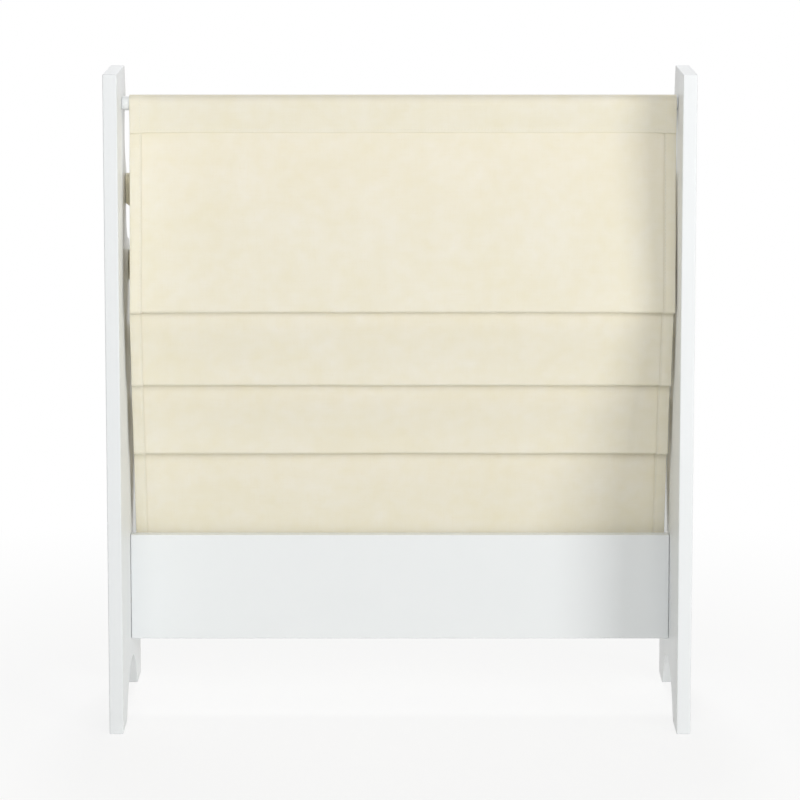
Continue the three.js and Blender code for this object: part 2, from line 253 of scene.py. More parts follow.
# Unbleached cotton canvas in a plain weave: dull and cream, with thick and thin threads and a soft
# mottle, and light from behind comes through it warm. The real threads lie 0.5 mm apart, too fine
# to show, so they are drawn 1.3 mm apart. Each colour lies over the last by the share that its span
# makes of a pattern.
def cottonCanvas(tree):
    look = {
        "ground": "#F8F4E5",
        "warm": "#F4EED6",
        "slub": "#EEE4C8",
        # painted shade: the hollows between the threads are coloured a darker cream, as shade would fall
        # there
        "paintedWeaveShade": "#E8DBBB",
        "warmSpan": noiseSpan,
        "slubSpan": {"From Min": 1.05, "From Max": 1.45, "To Max": 0.2},
        "paintedWeaveShadeSpan": {"From Max": 0.6, "To Min": 0.14, "To Max": 0},
        "through": "#FFD58C",
        "throughShare": 0.08,
        "threadPitch": 1.3,
        "threadHeight": 0.12,
        "threadStrength": 0.3,
        "slubLength": 26,
        "slubWidth": 1.6,
        "slubHeightShare": 0.5,
        "mottleSize": 60,
        "blotchSize": 16,
    }
    flat = addNode(tree, "UVMap", {"uv_map": "clothLength"})
    pitch = scaleFor(look["threadPitch"])
    threads = addNode(tree, "VectorMath", {"operation": "SCALE", 0: flat, "Scale": pitch})
    parts = addNode(tree, "SeparateXYZ", {"Vector": threads})
    ridges = []  # the warp's and the weft's round threads
    for axis in ("X", "Y"):
        half = addNode(tree, "Math", {"operation": "PINGPONG", 0: parts.outputs[axis], 1: 0.5})
        angle = addNode(tree, "Math", {"operation": "MULTIPLY", 0: half, 1: math.pi})
        ridges.append(addNode(tree, "Math", {"operation": "SINE", 0: angle}))
    overUnder = addNode(tree, "TexChecker", {"Vector": threads, "Scale": 1}).outputs["Fac"]
    weave = addNode(tree, "Mix", {"data_type": "FLOAT", 0: overUnder, 2: ridges[0], 3: ridges[1]})

    share, size = look["slubWidth"] / look["slubLength"], scaleFor(look["slubWidth"])
    ways = []
    for stretch in ((1, share, 1), (share, 1, 1)):
        way = addNode(tree, "Mapping", {"Vector": flat, "Scale": stretch})
        ways.append(addNode(tree, "TexNoise", {"Vector": way, "Scale": size, "Detail": 1}))
    slubs = addNode(tree, "Math", {"operation": "ADD", 0: ways[0], 1: ways[1]})
    mottle = addNode(tree, "TexNoise", {"Vector": flat, "Scale": scaleFor(look["mottleSize"]), "Detail": 3})
    blotch = addNode(tree, "TexNoise", {"Vector": flat, "Scale": scaleFor(look["blotchSize"]), "Detail": 2})
    both = addNode(tree, "Math", {"operation": "ADD", 0: mottle, 1: blotch})
    patches = addNode(tree, "Math", {"operation": "MULTIPLY", 0: both, 1: 0.5})

    colour = toLinear(look["ground"])
    # the last of these layers is the painted shade in the weave's hollows
    for name, pattern in (("warm", patches), ("slub", slubs), ("paintedWeaveShade", weave)):
        share = addNode(tree, "MapRange", look[f"{name}Span"] | {"Value": pattern})
        tone = toLinear(look[name])
        colour = addNode(tree, "Mix", {"data_type": "RGBA", 0: share, 6: colour, 7: tone}).outputs[2]
    slubHeight = addNode(tree, "Math", {"operation": "MULTIPLY", 0: slubs, 1: look["slubHeightShare"]})
    height = addNode(tree, "Math", {"operation": "ADD", 0: weave, 1: slubHeight})
    face = bumpedSurface(
        tree, height, look["threadStrength"], look["threadHeight"],
        {
            "Base Color": colour, "Roughness": 0.92, "Specular IOR Level": 0.2,
            "Sheen Weight": 0.1, "Sheen Roughness": 0.6,
        },
    )
    glow = addNode(tree, "BsdfTranslucent", {"Color": toLinear(look["through"])})
    return addNode(tree, "MixShader", {0: look["throughShare"], 1: face, 2: glow})


# Twisted polyester sewing thread: as pale as the canvas, with a soft shine, and painted shade in the grooves
# of its twist
def sewingThread(tree):
    look = {
        # painted shade: the grooves of the twist are coloured darker, as shade would fall there
        "paintedGrooveShade": "#ECE5CF",
        "thread": "#F6F1E1",
        "twistPitch": 0.9,
        "twistHeight": 0.06,
        "twistStrength": 0.5,
    }
    place = addNode(tree, "TexCoord", {}).outputs["Object"]
    turns = scaleFor(look["twistPitch"] * 2 * math.pi)
    wave = {"Vector": place, "bands_direction": "DIAGONAL", "Scale": turns}
    twist = addNode(tree, "TexWave", wave).outputs["Fac"]
    low, high = toLinear(look["paintedGrooveShade"]), toLinear(look["thread"])
    colour = addNode(tree, "Mix", {"data_type": "RGBA", 0: twist, 6: low, 7: high}).outputs[2]
    return bumpedSurface(
        tree, twist, look["twistStrength"], look["twistHeight"],
        {"Base Color": colour, "Roughness": 0.6, "Sheen Weight": 0.2},
    )


# Zinc plated steel: bright and bluish, with faint rolling marks and duller patches
def zincPlate(tree):
    look = {
        "colours": ("#C3C7CC", "#A9ADB2"),
        "roughness": (0.24, 0.42),
        "patchSize": 3,
        "markWidth": 0.25,
        "markHeight": 0.02,
        "markStrength": 0.2,
    }
    place = addNode(tree, "TexCoord", {}).outputs["Object"]
    patches = addNode(tree, "TexNoise", {"Vector": place, "Scale": scaleFor(look["patchSize"]), "Detail": 4})
    marks = addNode(tree, "TexNoise", {"Vector": place, "Scale": scaleFor(look["markWidth"]), "Detail": 1})
    coat = patchyCoat(tree, look, patches) | {"Metallic": 1}
    return bumpedSurface(tree, marks, look["markStrength"], look["markHeight"], coat)


# Bare beech, machined into pins: pinkish tan with short dark flecks along the grain
def bareBeech(tree):
    look = {
        "dark": "#B98F62",
        "light": "#D8B58A",
        "fleck": "#8F6840",
        "fleckSpan": {"From Min": 0.62, "From Max": 0.7, "To Max": 0.6},
        "grainWidth": 0.7,
        "grainLength": 9,
        "grainHeight": 0.1,
        "grainStrength": 0.4,
    }
    along, size = placeAlongGrain(tree, look), look["grainWidth"]
    grain = addNode(tree, "TexNoise", {"Vector": along, "Scale": scaleFor(size), "Detail": 3})
    flecks = addNode(tree, "TexNoise", {"Vector": along, "Scale": scaleFor(size / 2), "Detail": 1})
    low, high, fleck = [toLinear(look[name]) for name in ("dark", "light", "fleck")]
    wood = addNode(tree, "Mix", {"data_type": "RGBA", 0: grain, 6: low, 7: high}).outputs[2]
    share = addNode(tree, "MapRange", look["fleckSpan"] | {"Value": flecks})
    colour = addNode(tree, "Mix", {"data_type": "RGBA", 0: share, 6: wood, 7: fleck}).outputs[2]
    return bumpedSurface(
        tree, grain, look["grainStrength"], look["grainHeight"], {"Base Color": colour, "Roughness": 0.65}
    )


lacquer = makeMaterial("satinLacquer", satinLacquer)
rodPaint = makeMaterial("paintedRod", paintedRod)
canvas = makeMaterial("cottonCanvas", cottonCanvas)
thread = makeMaterial("sewingThread", sewingThread)
zinc = makeMaterial("zincPlate", zincPlate)
beech = makeMaterial("bareBeech", bareBeech)
print("scene: the materials are made")


# Side panels: drawn as an outline on the inner face, filled and given their thickness
panel = {
    "headDepth": 122 * mm,
    "headRun": 26 * mm,
    "noseRadius": 12 * mm,
    "rodBossRadius": 22 * mm,
    "scoopSet": 8 * mm,
    "longScoopShare": 0.44,
    "shoulderRadius": 30 * mm,
    "shoulderHeight": 250 * mm,
    "backFootDepth": 57 * mm,
    "frontFootDepth": 49 * mm,
    "archHeight": 50 * mm,
    "edgeEase": 1.3 * mm,
    "easeSteps": 3,
    "easeAbove": 40,  # degrees, as below
    "smoothBelow": 32,
    "arcStep": 2.2 * mm,
    "fewestSteps": 4,
    "mergeBelow": 0.01 * mm,
}


# A corner's place from its depth forward of the back edge and its height
def forwardUp(x, forward, up):
    return Vector((x, backEdge - forward, up))


def bearing(centre, point):
    return math.atan2(point.z - centre.z, point.y - centre.y)


# The circle that touches two round noses from in front of them
def scoopBetween(first, firstRadius, second, secondRadius, radius):
    along = (second - first).normalized()
    forward = Vector((0, along.z, -along.y))
    apart = (second - first).length
    reachFirst, reachSecond = firstRadius + radius, secondRadius + radius
    run = (reachFirst ** 2 - reachSecond ** 2 + apart ** 2) / (2 * apart)
    return first + along * run + forward * math.sqrt(reachFirst ** 2 - run ** 2)


# Extrudes the outline's last corner in a straight line
def drawTo(here, place):
    bpy.ops.mesh.extrude_region_move(TRANSFORM_OT_translate={"value": place - here})
    return place


# Spins the outline's last corner round a centre, until it faces the bearing given. Seen along
# its axis, the spin turns the way of a clock's hands, so the angle changes its sign.
def spinTo(here, centre, finalBearing, turn):
    radius = (here - centre).length
    angle = (finalBearing - bearing(centre, here)) % (2 * math.pi)
    if turn < 0:
        angle -= 2 * math.pi
    steps = max(panel["fewestSteps"], round(abs(angle) * radius / panel["arcStep"]))
    bpy.ops.mesh.spin(steps=steps, angle=-angle, center=centre, axis=(1, 0, 0))
    reached = Vector((0, math.cos(finalBearing), math.sin(finalBearing))) * radius
    return centre + reached


def outlinePanel(x):
    def at(forward, up):
        return forwardUp(x, forward, up)

    unitDepth = backEdge - frontEdge
    lean = stepForward / stepDown
    down = Vector((0, -stepForward, -stepDown)).normalized()
    outward = Vector((0, down.z, -down.y))
    noseTouch = at(panel["headDepth"] + panel["headRun"] * lean, topEdge - panel["headRun"])
    rounds = [(noseTouch - outward * panel["noseRadius"], panel["noseRadius"])]
    for place in rodPlaces[1:]:
        rounds.append((Vector((x, place.y, place.z)), panel["rodBossRadius"]))
    shoulderSet = unitDepth - panel["shoulderRadius"]
    rounds.append((at(shoulderSet, panel["shoulderHeight"]), panel["shoulderRadius"]))
    half = math.hypot(stepForward, stepDown) / 2
    boss, scoopSet = panel["rodBossRadius"], panel["scoopSet"]
    bossScoop = (half ** 2 + scoopSet ** 2 - boss ** 2) / (2 * (boss + scoopSet))

    here = at(0, 0)
    for corner in (at(0, topEdge), at(panel["headDepth"], topEdge), noseTouch):
        here = drawTo(here, corner)
    for i in range(len(rounds) - 1):
        (centre, radius), (nextCentre, nextRadius) = rounds[i], rounds[i + 1]
        long = i == 0 or i == len(rounds) - 2
        scoopRadius = panel["longScoopShare"] * (nextCentre - centre).length if long else bossScoop
        scoop = scoopBetween(centre, radius, nextCentre, nextRadius, scoopRadius)
        here = spinTo(here, centre, bearing(centre, scoop), 1)
        here = spinTo(here, scoop, bearing(scoop, nextCentre), -1)
    shoulder = rounds[-1][0]
    here = spinTo(here, shoulder, math.pi, 1)
    here = drawTo(here, at(unitDepth, 0))
    here = drawTo(here, at(unitDepth - panel["frontFootDepth"], 0))
    archHalf = (unitDepth - panel["frontFootDepth"] - panel["backFootDepth"]) / 2
    archRadius = (archHalf ** 2 + panel["archHeight"] ** 2) / (2 * panel["archHeight"])
    archCentre = at(panel["backFootDepth"] + archHalf, panel["archHeight"] - archRadius)
    here = spinTo(here, archCentre, bearing(archCentre, at(panel["backFootDepth"], 0)), -1)
    drawTo(here, at(0, 0))


def makePanel(sideName, side):
    low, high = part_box(f"side_panel_{sideName}")
    inner = low.x if side > 0 else high.x
    outer = high.x if side > 0 else low.x
    deselectAll()
    bpy.ops.mesh.primitive_plane_add(size=rodRadius, location=forwardUp(inner, 0, 0))
    piece = bpy.context.object
    applyPlace(piece)
    editAll(piece)
    bpy.ops.mesh.merge(type="CENTER")
    outlinePanel(inner)
    bpy.ops.mesh.select_all(action="SELECT")
    bpy.ops.mesh.remove_doubles(threshold=panel["mergeBelow"])
    bpy.ops.mesh.edge_face_add()
    bpy.ops.mesh.extrude_region_move(TRANSFORM_OT_translate={"value": (outer - inner, 0, 0)})
    faceOutwards(piece)
    applyModifier(
        piece, "BEVEL", width=panel["edgeEase"], segments=panel["easeSteps"],
        limit_method="ANGLE", angle_limit=math.radians(panel["easeAbove"]),
    )
    cutAway(piece, screwHoles(inner, outer))
    smoothFlatPiece(piece, panel["smoothBelow"])
    finishPiece(piece, f"sidePanel_{sideName}", lacquer, [f"side_panel_{sideName}"])


# Fasteners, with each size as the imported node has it
fastener = {
    "holeGap": 0.3 * mm,
    "holeOverrun": 3 * mm,
    "sides": 48,
    "rodScrewRadius": 2 * mm,
    "rodHeadRadius": 4 * mm,
    "rodHeadHeight": 2.4 * mm,
    "boardScrewRadius": 3.5 * mm,
    "boardThreadRadius": 2.5 * mm,
    "boardHeadRadius": 5 * mm,
    "boardHeadHeight": 3 * mm,
    "pinRadius": 4 * mm,
    "rim": 0.45 * mm,
}


# A turned piece along X: a disc that is extruded and scaled from one radius to the next
def turnedPiece(profile, sides, start, direction):
    firstRadius, firstSet = profile[0]
    deselectAll()
    bpy.ops.mesh.primitive_circle_add(
        vertices=sides, radius=firstRadius, fill_type="NGON",
        location=start + Vector((direction * firstSet, 0, 0)), rotation=(0, math.pi / 2, 0),
    )
    piece = bpy.context.object
    applyPlace(piece)
    editAll(piece)
    for (radius, place), (nextRadius, nextPlace) in zip(profile, profile[1:]):
        run = direction * (nextPlace - place)
        share = nextRadius / radius
        bpy.ops.mesh.extrude_region_move(TRANSFORM_OT_translate={"value": (run, 0, 0)})
        bpy.ops.transform.resize(
            value=(1, share, share), center_override=start + Vector((direction * nextPlace, 0, 0))
        )
    faceOutwards(piece)
    return piece


def screwHoles(inner, outer):
    out = 1 if outer > inner else -1
    sideName = "right" if out > 0 else "left"
    thickness = abs(outer - inner)
    gap, overrun = fastener["holeGap"], fastener["holeOverrun"]
    tools = []
    families = (
        ("rod_screw", rodCount, "rodScrewRadius", "rodHeadRadius", "rodHeadHeight"),
        ("board_screw", boardFixings, "boardScrewRadius", "boardHeadRadius", "boardHeadHeight"),
    )
    for family, count, shank, head, height in families:
        for i in range(count):
            place = middleOf(f"{family}_{sideName}_{i + 1}")
            start = Vector((inner, place.y, place.z))
            shankRadius, headRadius = fastener[shank] + gap, fastener[head] + gap
            profile = [
                (shankRadius, -overrun),
                (shankRadius, thickness - fastener[height] - 2 * gap),
                (headRadius, thickness - fastener["rim"] - 2 * gap),
                (headRadius, thickness + overrun),
            ]
            tools.append(turnedPiece(profile, fastener["sides"], start, out))
    for i in range(boardFixings):
        low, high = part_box(f"board_pin_{sideName}_{i + 1}")
        place = (low + high) / 2
        depth = abs((high.x if out > 0 else low.x) - inner) + gap
        radius = (high.z - low.z) / 2 + gap
        start = Vector((inner, place.y, place.z))
        tools.append(turnedPiece([(radius, -overrun), (radius, depth)], fastener["sides"], start, out))
    return tools


makePanel("left", -1)
makePanel("right", 1)
print("scene: the side panels are made")


# Rods: a turned bar with a chamfer and a pilot bore at each end, modelled once and copied
rod = {
    "sides": 64,
    "chamfer": 0.8 * mm,
    "chamferSteps": 2,
    "chamferAbove": 60,
    "smoothBelow": 30,
    "boreDepth": 31 * mm,
    "boreRadius": 2.3 * mm,
}


def modelRod():
    low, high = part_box("rod_1")
    deselectAll()
    bpy.ops.mesh.primitive_cylinder_add(
        vertices=rod["sides"], radius=rodRadius, depth=high.x - low.x, end_fill_type="NGON",
        rotation=(0, math.pi / 2, 0),
    )
    piece = bpy.context.object
    applyPlace(piece)
    applyModifier(
        piece, "BEVEL", width=rod["chamfer"], segments=rod["chamferSteps"],
        limit_method="ANGLE", angle_limit=math.radians(rod["chamferAbove"]),
    )
    for end in (-1, 1):
        makeActive(piece)
        for face in piece.data.polygons:
            face.select = face.normal.x * end > 0.99  # the flat end alone
        bpy.ops.object.mode_set(mode="EDIT")
        bpy.ops.mesh.select_mode(type="FACE")
        bpy.ops.mesh.inset(thickness=rodRadius - rod["chamfer"] - rod["boreRadius"])
        bpy.ops.mesh.extrude_region_move(TRANSFORM_OT_translate={"value": (-end * rod["boreDepth"], 0, 0)})
        bpy.ops.mesh.select_all(action="DESELECT")
        bpy.ops.object.mode_set(mode="OBJECT")
    smoothBelow(piece, rod["smoothBelow"])
    return piece


rodModel = modelRod()
for i, place in enumerate(rodPlaces):
    piece = copyTo(rodModel, place)
    finishPiece(piece, f"rod{i + 1}", rodPaint, [f"rod_{i + 1}"])
bpy.data.objects.remove(rodModel)
print("scene: the rods are made")


# Stretcher board, with eased edges and bored ends
board = {"edgeEase": 1.3 * mm, "easeSteps": 3, "smoothBelow": 32}


def makeBoard():
    low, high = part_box("stretcher_board")
    deselectAll()
    bpy.ops.mesh.primitive_cube_add(size=1, location=(low + high) / 2, scale=high - low)
    piece = bpy.context.object
    applyPlace(piece)
    applyModifier(piece, "BEVEL", width=board["edgeEase"], segments=board["easeSteps"])
    gap, overrun = fastener["holeGap"], fastener["holeOverrun"]
    bores = (("board_screw", fastener["boardThreadRadius"]), ("board_pin", fastener["pinRadius"]))
    tools = []
    for sideName, out in (("left", -1), ("right", 1)):
        end = high.x if out > 0 else low.x
        for family, radius in bores:
            for i in range(boardFixings):
                pieceLow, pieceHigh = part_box(f"{family}_{sideName}_{i + 1}")
                place = (pieceLow + pieceHigh) / 2
                tip = pieceLow.x if out > 0 else pieceHigh.x
                profile = [(radius + gap, -overrun), (radius + gap, abs(end - tip) + gap)]
                start = Vector((end, place.y, place.z))
                tools.append(turnedPiece(profile, fastener["sides"], start, -out))
    cutAway(piece, tools)
    smoothFlatPiece(piece, board["smoothBelow"])
    finishPiece(piece, "stretcherBoard", lacquer, ["stretcher_board"])


makeBoard()
print("scene: the stretcher board is made")


# Screws: turned, with a recess cut in the head. The rod screws take a cross, the others a hex key.
# Each is modelled once, from its tip at the origin to its head along X, and copied.
screw = {
    "sides": 40,
    "tipRadius": 0.4 * mm,
    "pointLength": 4 * mm,
    "shoulderLength": 11.5 * mm,
    "shoulderFoot": 12 * mm,
    "crossLength": 4.2 * mm,
    "crossWidth": 0.9 * mm,
    "crossDepth": 1.6 * mm,
    "crossTaper": 0.45,
    "hexRadius": 2.3 * mm,
    "hexDepth": 2.4 * mm,
    "smoothBelow": 35,
}


def rodScrewProfile(length):
    radius, head = fastener["rodScrewRadius"], fastener["rodHeadRadius"]
    return [
        (screw["tipRadius"], 0), (radius, screw["pointLength"]),
        (radius, length - fastener["rodHeadHeight"]),
        (head, length - fastener["rim"]), (head, length),
    ]


def boardScrewProfile(length):
    radius, shoulder = fastener["boardThreadRadius"], fastener["boardScrewRadius"]
    neck, head = length - fastener["boardHeadHeight"], fastener["boardHeadRadius"]
    return [
        (screw["tipRadius"], 0), (radius, screw["pointLength"]),
        (radius, neck - screw["shoulderFoot"]), (shoulder, neck - screw["shoulderLength"]),
        (shoulder, neck), (head, length - fastener["rim"]), (head, length),
    ]


def crossRecess(headPlace):
    tools = []
    for turn in (0, math.pi / 2):
        deselectAll()
        bpy.ops.mesh.primitive_cube_add(size=1, location=headPlace)
        tool = bpy.context.object
        tool.scale = (2 * screw["crossDepth"], screw["crossLength"], screw["crossWidth"])
        tool.rotation_euler = (turn, 0, 0)
        applyPlace(tool)
        bpy.ops.object.mode_set(mode="EDIT")
        bpy.ops.mesh.select_all(action="DESELECT")
        bpy.ops.object.mode_set(mode="OBJECT")
        for face in tool.data.polygons:
            face.select = face.normal.x < -0.9  # the end deep in the head
        taper = screw["crossTaper"]
        bpy.ops.object.mode_set(mode="EDIT")
        bpy.ops.transform.resize(value=(1, taper, taper), center_override=headPlace)
        bpy.ops.object.mode_set(mode="OBJECT")
        tools.append(tool)
    return tools


def hexRecess(headPlace):
    start = headPlace - Vector((screw["hexDepth"], 0, 0))
    profile = [(screw["hexRadius"], 0), (screw["hexRadius"], 2 * screw["hexDepth"])]
    return [turnedPiece(profile, 6, start, 1)]


def modelScrew(node, profileOf, recessOf):
    low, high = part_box(node)
    length = high.x - low.x
    piece = turnedPiece(profileOf(length), screw["sides"], Vector((0, 0, 0)), 1)
    for tool in recessOf(Vector((length, 0, 0))):  # one by one: tools that cross in one cut leave nothing
        cutAway(piece, [tool])
    smoothBelow(piece, screw["smoothBelow"])
    return piece


screwModels = (
    ("rod_screw", rodCount, modelScrew("rod_screw_right_1", rodScrewProfile, crossRecess)),
    ("board_screw", boardFixings, modelScrew("board_screw_right_1", boardScrewProfile, hexRecess)),
)
for sideName, out in (("left", -1), ("right", 1)):
    for family, count, model in screwModels:
        for i in range(count):
            node = f"{family}_{sideName}_{i + 1}"
            tip = middleOf(node)
            tip.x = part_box(node)[0].x if out > 0 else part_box(node)[1].x
            piece = copyTo(model, tip, 0 if out > 0 else math.pi)
            finishPiece(piece, node.replace("_screw_", "Screw_"), zinc, [node])
    for i in range(boardFixings):
        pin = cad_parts[f"board_pin_{sideName}_{i + 1}"]
        pin.data.materials.clear()
        pin.data.materials.append(beech)
for family, count, model in screwModels:
    bpy.data.objects.remove(model)
print("scene: the screws and pins are made")


# The canvas sling, one sheet from the flap behind the top rod to the flap before the last.
# Its path is drawn as (forward, up) from the rods, and the books stand on its left-hand side.
sling = {
    "thickness": 0.6 * mm,
    "width": 580 * mm,
    "rodGap": 1.05 * mm,
    "stitchDrop": 28 * mm,
    "layerSet": 0.42 * mm,
    "pocketDrops": [222.2 * mm, 218.2 * mm, 211.5 * mm, 233 * mm],
    "pocketDepth": 101 * mm,
    "foldRadius": 3 * mm,
    "foldSetShares": [0.45, 0.62, 0.72, 0.72],
    "wallGap": 3.6 * mm,
    "gapRun": 30 * mm,
    "foldGaps": [5 * mm, 7 * mm, 8 * mm],
    "tuckRise": 24 * mm,
    "leaveShare": 0.25,
    "arriveShare": 1 / 3,
    "mouthPullShares": (0.10, 0.70),
    "bellyPullShares": (-0.10, 0.68),
    "tuckPullShares": (0.03, 0.16),
    "hangPullShares": (0.12, 0.40),
    "risePullShares": (0.55, 0.35),
    "topPullShares": (0.45, 0.30),
    "flapSet": 1.3 * mm,
    "flapTurnRadius": 0.45 * mm,
    "flapBelowStitch": 2.6 * mm,
    "flapTurnedUnder": 12 * mm,
    "arcStep": 1.6 * mm,
    "fewestSteps": 6,
    "lineStep": 5 * mm,
    "columnStep": 8 * mm,
    "mergeBelow": 0.001 * mm,
    "sideSets": [-3.2 * mm, -2.2 * mm, -0.8 * mm, -0.5 * mm, 0],
    "sleeveEnd": 294.3 * mm,
    "sleeveRun": 3.5 * mm,
}
# The side hems, turned to the side of the rods. Near a seam the main layer makes room for them.
hem = {
    "width": 12.5 * mm,
    "trimmedWidth": 2 * mm,
    "trimRun": 16 * mm,
    "gap": 0.25 * mm,
    "raiseRun": 26 * mm,
    "easeRun": 9 * mm,
}
hemRise = sling["thickness"] + hem["gap"]
halfWidth = sling["width"] / 2


def smoothShare(value):
    share = min(1, max(0, value))
    return share * share * (3 - 2 * share)


def linePoints(start, end):
    count = max(1, round(np.linalg.norm(end - start) / sling["lineStep"]))
    return np.linspace(start, end, count + 1)


def arcPoints(centre, radius, start, end):
    count = max(sling["fewestSteps"], round(abs(end - start) * radius / sling["arcStep"]))
    angles = np.linspace(start, end, count + 1)
    return centre + radius * np.column_stack([np.cos(angles), np.sin(angles)])


def curvePoints(start, leaving, arriving, end):
    count = round(np.linalg.norm(end - start) / sling["lineStep"])
    t = np.linspace(0, 1, count + 1)[:, None]
    s = 1 - t
    return s ** 3 * start + 3 * s ** 2 * t * leaving + 3 * s * t ** 2 * arriving + t ** 3 * end


# The angle at which a tangent from a point below meets the circle round a rod
def tangentAngle(centre, radius, point, side):
    toPoint = point - centre
    reach = math.acos(radius / np.linalg.norm(toPoint))
    return math.atan2(toPoint[1], toPoint[0]) + side * reach


# How far a curve's handle stands from its end, forward and up
def handle(name, height):
    forwardShare, upShare = sling[name]
    return np.array([stepForward * forwardShare, height * upShare])


# The upper part of a lower rear wall, beside the front wall behind it. They share a seam, and the
# gap between them opens below it.
def wallBeside(wall):
    down = wall[::-1]
    drops = np.concatenate([[0], np.cumsum(np.linalg.norm(np.diff(down, axis=0), axis=1))])
    opened = np.array([smoothShare(drop / sling["gapRun"]) for drop in drops])
    gaps = 2 * sling["layerSet"] * (1 - opened) + sling["wallGap"] * opened
    beside = down + np.column_stack([gaps, 0 * gaps])
    return beside[beside[:, 1] > wall[0][1] + sling["tuckRise"]]


# One pocket: down its rear wall from a seam, round its fold and up to the next seam. A lower rear
# wall lies along the front wall behind it, passes that wall's fold and hangs to its own.
def pocketStretches(i, centre, before, nextBehind, wallBehind):
    depth, radius = sling["pocketDepth"], sling["foldRadius"]
    first = i == 0
    hangPull = handle("bellyPullShares" if first else "hangPullShares", stepDown)
    risePull, topPull = handle("risePullShares", depth), handle("topPullShares", depth)
    rearLean, frontLean = math.atan2(*hangPull), math.atan2(*risePull)
    foldUp = radius + sling["thickness"] / 2 - sling["pocketDrops"][i]
    fold = centre + [-sling["foldSetShares"][i] * stepForward, foldUp]
    bottom = arcPoints(fold, radius, math.pi + rearLean, 2 * math.pi - frontLean)
    towardBottom = bottom[0] + [-hangPull[0], hangPull[1]]
    if first:
        mouthPull = handle("mouthPullShares", depth)
        walls = [curvePoints(before, before - mouthPull, towardBottom, bottom[0])]
    else:
        beside = wallBeside(wallBehind)
        end, run = beside[-1], beside[-1] - beside[-2]
        leaving = end + run / np.linalg.norm(run) * sling["tuckRise"] * sling["leaveShare"]
        tuck = wallBehind[0] + [sling["foldGaps"][i - 1], 0]
        tuckPull = handle("tuckPullShares", depth)
        walls = [
            beside,
            curvePoints(end, leaving, tuck + tuckPull * sling["arriveShare"], tuck),
            curvePoints(tuck, tuck - tuckPull, towardBottom, bottom[0]),
        ]
    front = curvePoints(bottom[-1], bottom[-1] + risePull, nextBehind - topPull, nextBehind)
    return walls + [bottom, front]


def slingPath():
    rods = [np.array([backEdge - place.y, place.z]) for place in rodPlaces]
    radius = rodRadius + sling["rodGap"] + sling["thickness"] / 2
    inset, turn = sling["layerSet"], sling["flapTurnRadius"]
    stitchDrop, below, under = sling["stitchDrop"], sling["flapBelowStitch"], sling["flapTurnedUnder"]
    stretches, seamEnds, wallBehind = [], [], None
    for i, centre in enumerate(rods):
        first, last = i == 0, i == rodCount - 1
        behind = centre + [-(sling["flapSet"] if first else inset), -stitchDrop]
        before = centre + [sling["flapSet"] if last else inset, -stitchDrop]
        if first:
            bend = behind + [turn, -below]
            stretches.append(linePoints(bend + [turn, under], bend + [turn, 0]))
            stretches.append(arcPoints(bend, turn, 0, -math.pi))
            stretches.append(linePoints(bend + [-turn, 0], behind))
        seamEnds.append(len(stretches))
        start = tangentAngle(centre, radius, behind, -1)
        end = tangentAngle(centre, radius, before, 1) - 2 * math.pi
        over = arcPoints(centre, radius, start, end)
        stretches += [linePoints(behind, over[0]), over, linePoints(over[-1], before)]
        seamEnds.append(len(stretches))
        if last:
            bend = before + [-turn, -below]
            stretches.append(linePoints(before, bend + [turn, 0]))
            stretches.append(arcPoints(bend, turn, 0, -math.pi))
            stretches.append(linePoints(bend + [-turn, 0], bend + [-turn, under]))
        else:
            nextBehind = rods[i + 1] + [-inset, -stitchDrop]
            stretches += pocketStretches(i, centre, before, nextBehind, wallBehind)
            wallBehind = stretches[-1]
    ends = np.cumsum([len(stretch) for stretch in stretches]) - 1
    points = np.vstack(stretches)
    lengths = np.concatenate([[0], np.cumsum(np.linalg.norm(np.diff(points, axis=0), axis=1))])
    kept = np.concatenate([[True], np.diff(lengths) > sling["mergeBelow"]])
    return points[kept], lengths[kept], lengths[ends[np.array(seamEnds) - 1]]


# The seams come in pairs, one behind each rod and one before it
pathPoints, pathLengths, seamLengths = slingPath()
sleeveMiddles = (seamLengths[::2] + seamLengths[1::2]) / 2
runs = np.gradient(pathPoints, pathLengths, axis=0)
pathRuns = runs / np.linalg.norm(runs, axis=1)[:, None]
pathLefts = np.column_stack([-pathRuns[:, 1], pathRuns[:, 0]])


# How slack the canvas is: nothing on a rod, and most in the middle of a wall
slack = {
    "easeIn": 60 * mm,
    "swells": [(0.7 * mm, 150 * mm), (0.2 * mm, 48 * mm)],
    "puckerHeight": 0.3 * mm,
    "puckerSize": 17 * mm,
    "puckerStretch": 4,
    "puckerReach": 9 * mm,
    "creases": [(171 * mm, 0.5), (123 * mm, 0.6), (32 * mm, 0.5), (-264 * mm, 0.6), (-279 * mm, 0.9)],
    "creaseDepth": 0.55 * mm,
    "creaseWidth": 3.2 * mm,
    "creaseReach": 12 * mm,
    "edgeWander": 0.5 * mm,
    "edgeSize": 90 * mm,
    "edgePower": 8,
    "seed": 4.7,
    "edgeSeed": 9,
}


# How far inside a sleeve a place along the cloth is: positive between a rod's two seams
def insideSleeve(length):
    return max(min(length - start, end - length) for start, end in zip(seamLengths[::2], seamLengths[1::2]))


# How far forward a seam's puckers and creases push the canvas. It is the same for all the layers
# sewn together there, so that none passes through another.
def pushForward(length, across, up):
    sleeve = int(np.abs(seamLengths - length).argmin()) // 2
    aboveSeam = up - rodPlaces[sleeve].z + sling["stitchDrop"]
    size, reach = slack["puckerSize"], abs(aboveSeam)
    seed = (sleeve + 1) * slack["seed"]
    spot = Vector((across / size, aboveSeam / (slack["puckerStretch"] * size), seed))
    total = slack["puckerHeight"] * math.exp(-reach / slack["puckerReach"]) * noise.noise(spot)
    if sleeve == 0:
        for place, strength in slack["creases"]:
            near = math.exp(-((across - place) / slack["creaseWidth"]) ** 2 - reach / slack["creaseReach"])
            total += slack["creaseDepth"] * strength * near
    return total


